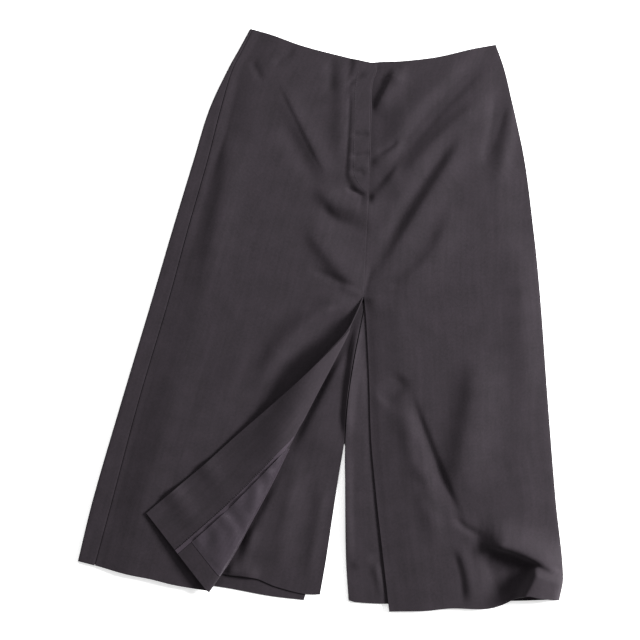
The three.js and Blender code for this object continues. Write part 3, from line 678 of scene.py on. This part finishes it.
def woven(
    name, colour, rib_mm, angle, roughness=0.88, sheen=0.1, uneven=0.36, bump=0.35, gloss=0.22
):
    """A woven cloth: rib and nap as bump and as light and dark threads, and a slowly uneven dye."""
    material, tree, shader = nodes_of(name, colour, roughness, sheen, SHEEN_ROUGHNESS, gloss)
    uv = add(tree, "ShaderNodeUVMap", uv_map="cloth").outputs["UV"]
    turned = add(tree, "ShaderNodeMapping", uv, Rotation=(0, 0, math.radians(angle)))
    rib = add(
        tree,
        "ShaderNodeTexWave",
        turned.outputs["Vector"],
        wave_type="BANDS",
        bands_direction="X",
        Scale=1 / (BANDS_PER_SCALE * rib_mm * MM),
        Distortion=1.2,
        Detail=1,
    )
    rib.inputs["Detail Scale"].default_value = 1.5
    warp = add(tree, "ShaderNodeMapping", uv, Scale=(1, 0.06, 1))
    nap = noise(tree, uv, scale=620, detail=3)
    grain = noise(tree, uv, scale=300, detail=2)
    streaks = noise(tree, warp.outputs["Vector"], scale=160, detail=2)
    dye = noise(tree, uv, scale=34, detail=4)
    threads = blend(tree, rib.outputs["Fac"], nap, THREADS_NAP)
    fine = blend(tree, threads, grain, FINE_GRAIN)
    slow = blend(tree, dye, streaks, SLOW_STREAKS)
    shade = blend(tree, fine, slow, SHADE_SLOW)
    dark, light = [[c * (1 + way * uneven) for c in colour] for way in (-1, 1)]
    ends = two_tones(tree, shader, shade, dark, light)
    ends[0].position = DARK_END
    ends[1].position = LIGHT_END
    relief = add(tree, "ShaderNodeBump", Strength=bump, Distance=RELIEF)
    tree.links.new(threads, relief.inputs["Height"])
    tree.links.new(relief.outputs["Normal"], shader.inputs["Normal"])
    return material


twill = woven("charcoal_twill", TWILL_COLOUR, rib_mm=0.9, angle=62)
binding_satin = woven(
    "binding_satin", (0.035, 0.0275, 0.0355), rib_mm=0.5, angle=45, roughness=0.5, sheen=0.2, uneven=0.15
)
lining_satin = woven(
    "lining_satin",
    (0.0185, 0.0143, 0.0192),
    rib_mm=0.3,
    angle=15,
    roughness=0.33,
    sheen=0.2,
    uneven=0.45,
    bump=0.15,
    gloss=0.7,
)
zip_tape = woven("zip_tape", (0.01, 0.009, 0.01), rib_mm=0.8, angle=0, roughness=0.7)
for satin in (binding_satin, lining_satin):
    satin.node_tree.nodes["Principled BSDF"].inputs["Specular Tint"].default_value = SATIN_TINT
thread = woven("sewing_thread", (0.02, 0.016, 0.02), rib_mm=0.2, angle=30, roughness=0.6, sheen=0.2)

table_top, table_tree, table_shader = nodes_of(
    "pale_table", (0.93, 0.93, 0.93), roughness=0.9, sheen=0, sheen_roughness=0.5
)
table_spots = add(table_tree, "ShaderNodeTexCoord").outputs["Object"]
mottle = add(table_tree, "ShaderNodeTexNoise", table_spots, Scale=3)
two_tones(table_tree, table_shader, mottle.outputs["Fac"], (0.92, 0.92, 0.92), (0.94, 0.94, 0.94))
table_shader.inputs["Emission Color"].default_value = (1, 1, 1, 1)
table_shader.inputs["Emission Strength"].default_value = TABLE_GLOW
table.data.materials.append(table_top)
print("materials:", len(bpy.data.materials))

# %% [markdown]
# ## From a grid to a panel
# bmesh makes a flat grid, and every point is then moved to its place. The grid's rows and columns are the
# cloth's own weft and warp, so their lengths give the UV map. Solidify adds the thickness and a small bevel
# rounds the rim, as a folded or pressed edge is round. A line of points close inside the rim keeps its
# shading off the panel.


# %% The panel maker
RIM = 0.15  # in columns or rows
BEVEL_ANGLE = 70
BEVEL_SHARE = 0.12
WELD = 1e-6


def cloth(name, columns, rows, place, keep=None, thickness=CLOTH, material=twill, seams=()):
    """A sheet over a grid. place gives each grid point's spot, keep says which cells are cloth, and seams
    are columns between the whole ones."""
    lines_across = sorted({*range(columns + 1), RIM, columns - RIM, *seams})
    lines_down = sorted({*range(rows + 1), RIM, rows - RIM})
    bm = bmesh.new()
    wide, deep = len(lines_across) - 1, len(lines_down) - 1
    bmesh.ops.create_grid(bm, x_segments=wide, y_segments=deep, size=0.5)
    spots = np.array([v.co[:2] for v in bm.verts])
    c = np.array(lines_across, float)[np.rint((spots[:, 0] + 0.5) * wide).astype(int)]
    r = np.array(lines_down, float)[np.rint((0.5 - spots[:, 1]) * deep).astype(int)]
    points = place(c, r)
    order = np.lexsort((c, r))
    grid = points[order].reshape(deep + 1, wide + 1, 3)
    across = np.zeros(grid.shape[:2])
    along = np.zeros(grid.shape[:2])
    across[:, 1:] = np.cumsum(np.linalg.norm(np.diff(grid, axis=1), axis=2), axis=1)
    along[1:] = np.cumsum(np.linalg.norm(np.diff(grid, axis=0), axis=2), axis=0)
    weave = np.zeros((len(points), 2))
    weave[order] = np.stack([across.ravel(), along.ravel()], 1) * MM
    uv = bm.loops.layers.uv.new("cloth")
    for face in bm.faces:
        face.smooth = True
        for corner in face.loops:
            corner[uv].uv = weave[corner.vert.index]
    for v in bm.verts:
        v.co = points[v.index] * MM
    if keep is not None:
        corners = [[v.index for v in face.verts] for face in bm.faces]
        stays = [keep(c[around].max(), r[around].max()) for around in corners]
        cut = [face for face, is_cloth in zip(bm.faces, stays) if not is_cloth]
        bmesh.ops.delete(bm, geom=cut, context="FACES")
    bmesh.ops.remove_doubles(bm, verts=bm.verts[:], dist=WELD)
    data = bpy.data.meshes.new(name)
    bm.to_mesh(data)
    bm.free()
    sheet = bpy.data.objects.new(name, data)
    bpy.context.scene.collection.objects.link(sheet)
    data.materials.append(material)
    solid = sheet.modifiers.new("thickness", "SOLIDIFY")
    solid.thickness = thickness * MM
    solid.offset = 0
    rounded = sheet.modifiers.new("round_rim", "BEVEL")
    rounded.limit_method = "ANGLE"
    rounded.angle_limit = math.radians(BEVEL_ANGLE)
    rounded.width = thickness * MM * BEVEL_SHARE
    rounded.segments = 2
    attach(sheet, "root")
    print(name, "quads:", len(data.polygons))
    return sheet


def laid(node):
    """Hides the imported solid that a panel stands for."""
    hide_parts(node)


# %% [markdown]
# ## Outer right front
# One piece of cloth from the side seam to the slit edge. Down to the slit's top it ends at the centre seam,
# and below that it goes on round the fold and back over itself as the flap. So its grid has columns that
# begin only at the slit's top, and those above it are cut away.

# %% Outer right front
ROWS_ABOVE = 116
ROWS_BELOW = 164
LYING = 92
ROLL = 8
LAP_GROOVE = 0.8
SEAM_DIP = 0.2
SIDE_DIP = 0.25
SEAM_LINE = 0.45
SIDE_LINE = 0.4
LAP_LINE, LAP_BOTTOM = LYING - 0.8, LYING - SEAM_LINE
LAP_EDGE_SHARE = 0.25
GROOVE_FROM, GROOVE_TO = 198, 216
SEAM_BEGIN, SEAM_END = 10, 6
FLAP_COLUMNS = 44
ROWS = ROWS_ABOVE + ROWS_BELOW
SLIT_SHARE = ROWS_ABOVE / ROWS


def slit_at(row):
    return np.clip((row - ROWS_ABOVE) / ROWS_BELOW, 0, 1)


def centre_and_fold(down):
    above = line(CENTRE)(np.minimum(down / SLIT_SHARE, 1))
    below = roll_start(np.clip((down - SLIT_SHARE) / (1 - SLIT_SHARE), 0, 1))
    return np.where((down <= SLIT_SHARE)[:, None], above, below)


right_seam = line(RIGHT_LINES, "seam")
right_plan = patch(right_seam, centre_and_fold, RIGHT_WAIST, RIGHT_HEM)


def edge_groove(c, y):
    """The pressed line along the lap's edge and the centre seam, and the dip at the side seam."""
    depth = SEAM_DIP + (LAP_GROOVE - SEAM_DIP) * rise(y, GROOVE_FROM, GROOVE_TO)
    at_lap = np.interp(c, (LAP_LINE, LAP_BOTTOM, LYING), (0, 1, LAP_EDGE_SHARE))
    at_edge = np.where(y < FLY_END, np.interp(c, (LAP_BOTTOM, LYING), (0, 1)), at_lap)
    at_edge = at_edge * rise(y, SLIT_TOP, SLIT_TOP + SEAM_BEGIN)
    return depth * at_edge + SIDE_DIP * np.interp(c, (0, SIDE_LINE), (1, 0))


def right_front_place(c, r):
    plan = right_plan(np.minimum(c / LYING, 1), r / ROWS)
    points = np.column_stack([plan, right_front_z(plan[:, 0], plan[:, 1])])
    points[:, 2] -= edge_groove(c, plan[:, 1])
    at = slit_at(r)
    on_roll = (c > LYING) & (c <= LYING + ROLL)
    points[on_roll] = roll_points(at[on_roll], (c[on_roll] - LYING) / ROLL)
    on_flap = c > LYING + ROLL
    points[on_flap] = flap_surface(at[on_flap], (c[on_flap] - LYING - ROLL) / FLAP_COLUMNS)
    return points


front_right = cloth(
    "outer_front_right",
    LYING + ROLL + FLAP_COLUMNS,
    ROWS,
    right_front_place,
    keep=lambda c, r: c <= LYING or r > ROWS_ABOVE,
    seams=(SIDE_LINE, LAP_LINE, LAP_BOTTOM, LYING - RIM),
)
laid("front_right")

# %% [markdown]
# ## Outer left front
# It runs from under the lap of the fly, down the centre seam and the free slit edge, across to the side
# seam, and ends in a hem whose corner is buckled.

# %% Outer left front
LEFT_COLUMNS = 92


def left_inner_edge(down):
    waist, hem = CENTRE["y"][0], LEFT_SLIT["y"][-1]
    y_above = waist + (SLIT_TOP - waist) * np.minimum(down / SLIT_SHARE, 1)
    y_below = SLIT_TOP + (hem - SLIT_TOP) * np.clip((down - SLIT_SHARE) / (1 - SLIT_SHARE), 0, 1)
    above = np.stack([underlap_edge(y_above), y_above], 1)
    below = np.stack([x_at(LEFT_SLIT, y_below), y_below], 1)
    return np.where((down <= SLIT_SHARE)[:, None], above, below)


left_plan = patch(left_inner_edge, line(LEFT_SIDE), LEFT_WAIST, LEFT_HEM)


def left_front_place(c, r):
    plan = left_plan(c / LEFT_COLUMNS, r / ROWS)
    y = plan[:, 1]
    by_seam = rise(y, SLIT_TOP, SLIT_TOP + SEAM_BEGIN) * (1 - rise(y, FLY_END - SEAM_END, FLY_END))
    dip = SEAM_DIP * np.interp(c, (0, SEAM_LINE), (1, 0)) * by_seam
    return np.column_stack([plan, left_front_z(plan[:, 0], y) - dip])


front_left = cloth("outer_front_left", LEFT_COLUMNS, ROWS, left_front_place, seams=(SEAM_LINE,))
laid("front_left")

# %% [markdown]
# ## Backs
# They carry the rest and lie flat on the table. The right one is wider than the front above it, so it turns
# round the side and comes up beside the side seam.

# %% Backs
STRIP = 8
STRIP_LINE = 0.5
TURN = 8
SIDE_GAP = 1.0
BACK_WIDE = 40
LEFT_BACK_INSET = 0.6
TURN_RADIUS = (OUTER_LEVEL - BACK_LEVEL) / 2
strip_edge = moved(right_seam, -SIDE_GAP)
turn_centre = moved(line(RIGHT_LINES, "side", RIGHT_BACK_HEM["y"][0]), TURN_RADIUS + CLOTH / 2)


def back_centre(inseam):
    """The backs' edge down the centre seam and then the inseam."""

    def edge(down):
        waist = BACK_SEAM["y"][0]
        y = waist + (inseam["y"][-1] - waist) * down
        return np.stack([np.where(y > CROTCH, x_at(BACK_SEAM, y), x_at(inseam, y)), y], 1)

    return edge


right_back_plan = patch(turn_centre, back_centre(RIGHT_BACK_INSEAM), RIGHT_WAIST, RIGHT_BACK_HEM)


def right_back_place(c, r):
    down = r / ROWS
    seam = strip_edge(down)
    centre = turn_centre(down)
    strip = np.clip(c / STRIP, 0, 1)[:, None]
    plan = seam + (centre - seam) * strip
    points = np.column_stack([plan, OUTER_LEVEL - SIDE_DIP * np.interp(c, (0, STRIP_LINE), (1, 0))])
    angle = np.pi * np.clip((c - STRIP) / TURN, 0, 1)
    turned_x = centre[:, 0] - TURN_RADIUS * np.sin(angle)
    turned_z = BACK_LEVEL + TURN_RADIUS * (1 + np.cos(angle))
    turned = np.column_stack([turned_x, centre[:, 1], turned_z])
    flat_plan = right_back_plan(np.clip((c - STRIP - TURN) / BACK_WIDE, 0, 1), down)
    flat = np.column_stack([flat_plan, np.full(len(c), BACK_LEVEL)])
    points = np.where((c > STRIP)[:, None], turned, points)
    return np.where((c > STRIP + TURN)[:, None], flat, points)


back_right = cloth(
    "back_panel_right", STRIP + TURN + BACK_WIDE, ROWS, right_back_place, seams=(STRIP_LINE,)
)
laid("back_right")

LEFT_BACK_COLUMNS, LEFT_BACK_ROWS = 44, 110
left_back_plan = patch(
    moved(back_centre(LEFT_BACK_INSEAM), 2 * GAP),
    moved(line(LEFT_SIDE), -LEFT_BACK_INSET),
    LEFT_WAIST,
    LEFT_BACK_HEM,
)


def left_back_place(c, r):
    plan = left_back_plan(c / LEFT_BACK_COLUMNS, r / LEFT_BACK_ROWS)
    return np.column_stack([plan, np.full(len(c), BACK_LEVEL)])


back_left = cloth("back_panel_left", LEFT_BACK_COLUMNS, LEFT_BACK_ROWS, left_back_place)
laid("back_left")

# %% [markdown]
# ## Inner fronts
# These are the trouser legs under the split. They are flat where the outer fronts cover them, and slightly
# folded in the slit, where nothing holds them down.

# %% Inner fronts
INNER_COLUMNS, INNER_ROWS = 84, 150
INNER_LEFT_INSET, INNER_RIGHT_INSET = 16, 8
INNER_GAP = 1.4
FREE_FROM, FREE_TO = 2, 12


def inner_sheet(name, plan_of, bare):
    """An inner front. bare says how far a point lies outside the cloth that covers it."""

    def place(c, r):
        plan = plan_of(c / INNER_COLUMNS, r / INNER_ROWS)
        x, y = plan[:, 0], plan[:, 1]
        free = np.where(y < SLIT_TOP, rise(bare(x, y), FREE_FROM, FREE_TO), 0)
        return np.column_stack([plan, INNER_LEVEL + not_below_zero(fold_heights(INNER_FOLDS, x, y)) * free])

    return cloth(name, INNER_COLUMNS, INNER_ROWS, place)


INNER_EDGE = columns_of("x y", (-240, INNER_TOP), (300, INNER_TOP))
inner_left_side = line(LEFT_SIDE, "x", INNER_LEFT_HEM["y"][-1], INNER_TOP)
inner_right_side = line(RIGHT_LINES, "side", INNER_RIGHT_HEM["y"][0], INNER_TOP)


def inner_right_edge(down):
    y = INNER_TOP + (INNER_RIGHT_HEM["y"][-1] - INNER_TOP) * down
    x = np.where(y > CROTCH, x_at(INNER_CENTRE, y) - INNER_GAP, x_at(RIGHT_INSEAM, y))
    return np.stack([x, y], 1)


inner_left = inner_sheet(
    "inner_leg_left",
    patch(line(INNER_CENTRE), moved(inner_left_side, -INNER_LEFT_INSET), INNER_EDGE, INNER_LEFT_HEM),
    lambda x, y: x_at(LEFT_SLIT, y) - x,
)
laid("inner_front_left")
inner_right = inner_sheet(
    "inner_leg_right",
    patch(moved(inner_right_side, INNER_RIGHT_INSET), inner_right_edge, INNER_EDGE, INNER_RIGHT_HEM),
    lambda x, y: x - smooth(FLAP, "foldY", "foldX", y),
)
laid("inner_front_right")

# %% [markdown]
# ## Trim on the flap
# Turned back, the flap shows the garment's inside: the slit's facing, the binding that covers the facing's
# raw edge, the lining and the hem's turned-up allowance. Each is a strip of the flap's own surface, moved
# off its wrong side.


# %% Facing, binding, lining and hem allowance
FACING_WIDTH = 56
BINDING_WIDTH = 5.5
HEM_ALLOWANCE = 26
SLIT_LENGTH = 465
HEM_AT = 1 - HEM_ALLOWANCE / SLIT_LENGTH
FOLD_SHARE = -0.6  # on the top of the fold
FACING_GAP, BINDING_GAP, LINING_GAP = 0.004, 0.002, 0.003  # shares of the flap's width
HEM_GAP = 0.002  # a share of the slit's length
NORMAL_STEP = 0.004
WRINKLE_LIFT, WRINKLE_HEIGHT = 2.3, 1.05
WRINKLES_FROM, WRINKLES_TO = -0.12, 0.25
HEM_EASE, HEM_LEAST = 6, 0.1
FACING_FROM, BINDING_FROM, LINING_FROM = 0.115, 0.47, 0.51


def flat_lying(points):
    return np.zeros(len(points))


def wave(run, length, sway, other, other_length):
    """A wave along one way that sways along another."""
    return np.sin(run / length + sway * np.sin(other / other_length))


def satin_wrinkles(points):
    """Heights of the soft wrinkles of loose lining, always away from the flap."""
    x, y = points[:, 0], points[:, 1]
    along, across = 0.64 * x + 0.77 * y, 0.77 * x - 0.64 * y
    waves = wave(along, 9, 1.7, across, 17) + 0.7 * wave(across, 6.5, 2, along, 13)
    waves += 0.5 * wave(x + 0.4 * y, 4.4, 1.3, y, 11)
    return WRINKLE_LIFT + WRINKLE_HEIGHT * waves


def above_flap(at, share, lift):
    """Points of the flap, moved off its upper side."""
    wide = [turned_points(at, np.minimum(share + way, 1)) for way in (-NORMAL_STEP, NORMAL_STEP)]
    long = [turned_points(np.clip(at + way, 0, 1), share) for way in (-NORMAL_STEP, NORMAL_STEP)]
    normal = np.cross(wide[1] - wide[0], long[1] - long[0])
    normal /= np.linalg.norm(normal, axis=1, keepdims=True)
    normal *= np.sign(normal[:, 2].mean())
    return turned_points(at, share) + normal * lift


def flap_trim(name, columns, rows, at_range, share_of, material, wrinkles=flat_lying):
    """A strip of the flap between two shares of its width."""

    def place(c, r):
        at = at_range[0] + (at_range[1] - at_range[0]) * r / rows
        low, high = share_of(at)
        share = low + (high - low) * c / columns
        loose = rise(share, WRINKLES_FROM, WRINKLES_TO) * np.clip((rows - r) / HEM_EASE, HEM_LEAST, 1)
        lift = CLOTH / 2 + GAP + TRIM_CLOTH / 2 + wrinkles(turned_points(at, share)) * loose
        return above_flap(at, share, lift[:, None])

    return cloth(name, columns, rows, place, thickness=TRIM_CLOTH, material=material)


def binding_outer(at):
    return np.maximum(FOLD_SHARE, 1 - FACING_WIDTH / flap_width(at))


def binding_inner(at):
    return np.maximum(FOLD_SHARE, 1 - (FACING_WIDTH + BINDING_WIDTH) / flap_width(at))


def facing_shares(at):
    return binding_outer(at) + FACING_GAP, np.ones_like(at)


def binding_shares(at):
    return binding_inner(at), binding_outer(at) - BINDING_GAP


def lining_shares(at):
    return np.full_like(at, FOLD_SHARE), binding_inner(at) - LINING_GAP


facing = flap_trim("slit_facing", 26, 150, (FACING_FROM, 1), facing_shares, twill)
laid("slit_facing_right")
binding = flap_trim("facing_binding", 6, 130, (BINDING_FROM, 1), binding_shares, binding_satin)
laid("facing_binding_right")
lining_at = (LINING_FROM, HEM_AT - HEM_GAP)
lining = flap_trim("outer_front_lining", 40, 120, lining_at, lining_shares, lining_satin, satin_wrinkles)
laid("lining_right")
allowance = flap_trim("hem_allowance", 34, 14, (HEM_AT, 1), lining_shares, twill)
laid("hem_allowance_right")

# %% [markdown]
# ## Stitches
# The fly is held by a line of stitches beside the lap's inner edge, and the binding's outer edge by one on
# each side of it. A stitch is a short six-sided bead of thread half sunk in the cloth, and each line is one
# mesh.


# %% Lines of stitches
STITCH, STITCH_GAP, THREAD = 2.6, 0.7, 0.32
STITCH_RINGS = ((0.0, 0.25), (0.15, 0.85), (0.5, 1.0), (0.85, 0.85), (1.0, 0.25))
STITCH_SIDES = 6
THREAD_RISE = THREAD * 0.3
FLY_STITCHES_TOP, FLY_STITCHES_FOOT, FLY_STITCHES_INSET = 346, FLY_END + 8, 3.2
BINDING_STITCHES_FROM, BINDING_STITCHES_TO = 0.56, 0.995
OUTSIDE_BINDING, INSIDE_BINDING = 0.9, -1.0
FLY_SAMPLES, BINDING_SAMPLES = 200, 260


def stitches(name, points):
    """A line of stitches along points of a surface."""
    steps = np.linalg.norm(np.diff(points, axis=0), axis=1)
    run = np.concatenate([[0], np.cumsum(steps)])
    bm = bmesh.new()
    for k in range(int(run[-1] / (STITCH + STITCH_GAP))):
        start = k * (STITCH + STITCH_GAP)
        ends = [np.array([np.interp(start + d, run, points[:, i]) for i in range(3)]) for d in (0, STITCH)]
        way = (ends[1] - ends[0]) / STITCH
        side = np.cross(way, (0, 0, 1))
        side /= np.linalg.norm(side)
        up = np.cross(side, way)
        rings = []
        for share, size in STITCH_RINGS:
            centre = ends[0] + (ends[1] - ends[0]) * share
            ring = []
            for j in range(STITCH_SIDES):
                angle = 2 * math.pi * j / STITCH_SIDES
                offset = THREAD * size * (side * math.cos(angle) + up * math.sin(angle))
                ring.append(bm.verts.new((centre + offset) * MM))
            rings.append(ring)
        bm.faces.new(rings[0])
        bm.faces.new(rings[-1][::-1])
        for a, b in zip(rings, rings[1:]):
            for j in range(STITCH_SIDES):
                n = (j + 1) % STITCH_SIDES
                bm.faces.new((a[n], a[j], b[j], b[n])).smooth = True
    bmesh.ops.recalc_face_normals(bm, faces=bm.faces[:])
    uv = bm.loops.layers.uv.new("cloth")
    for face in bm.faces:
        for corner in face.loops:
            corner[uv].uv = (corner.vert.co.x, corner.vert.co.y)
    data = bpy.data.meshes.new(name)
    bm.to_mesh(data)
    bm.free()
    seam = bpy.data.objects.new(name, data)
    bpy.context.scene.collection.objects.link(seam)
    data.materials.append(thread)
    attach(seam, "root")
    print(name, "faces:", len(data.polygons))


def on_trim(inset):
    """A line on the flap's trim, a little outside or inside the binding's outer edge."""
    at = np.linspace(BINDING_STITCHES_FROM, BINDING_STITCHES_TO, BINDING_SAMPLES)
    share = binding_outer(at) + inset / flap_width(at)
    return above_flap(at, share, CLOTH / 2 + GAP + TRIM_CLOTH + THREAD_RISE)


fly_y = np.linspace(FLY_STITCHES_TOP, FLY_STITCHES_FOOT, FLY_SAMPLES)
fly_x = x_at(UNDERLAP, fly_y) + FLY_STITCHES_INSET
fly_line = np.column_stack([fly_x, fly_y, right_front_z(fly_x, fly_y) + CLOTH / 2 + THREAD_RISE])
stitches("fly_stitches", fly_line)
stitches("binding_stitches_outer", on_trim(OUTSIDE_BINDING))
stitches("binding_stitches_inner", on_trim(INSIDE_BINDING))

# %% Zip under the lap
zip_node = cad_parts["fly_zip"]
zip_node.data.materials.clear()
zip_node.data.materials.append(zip_tape)
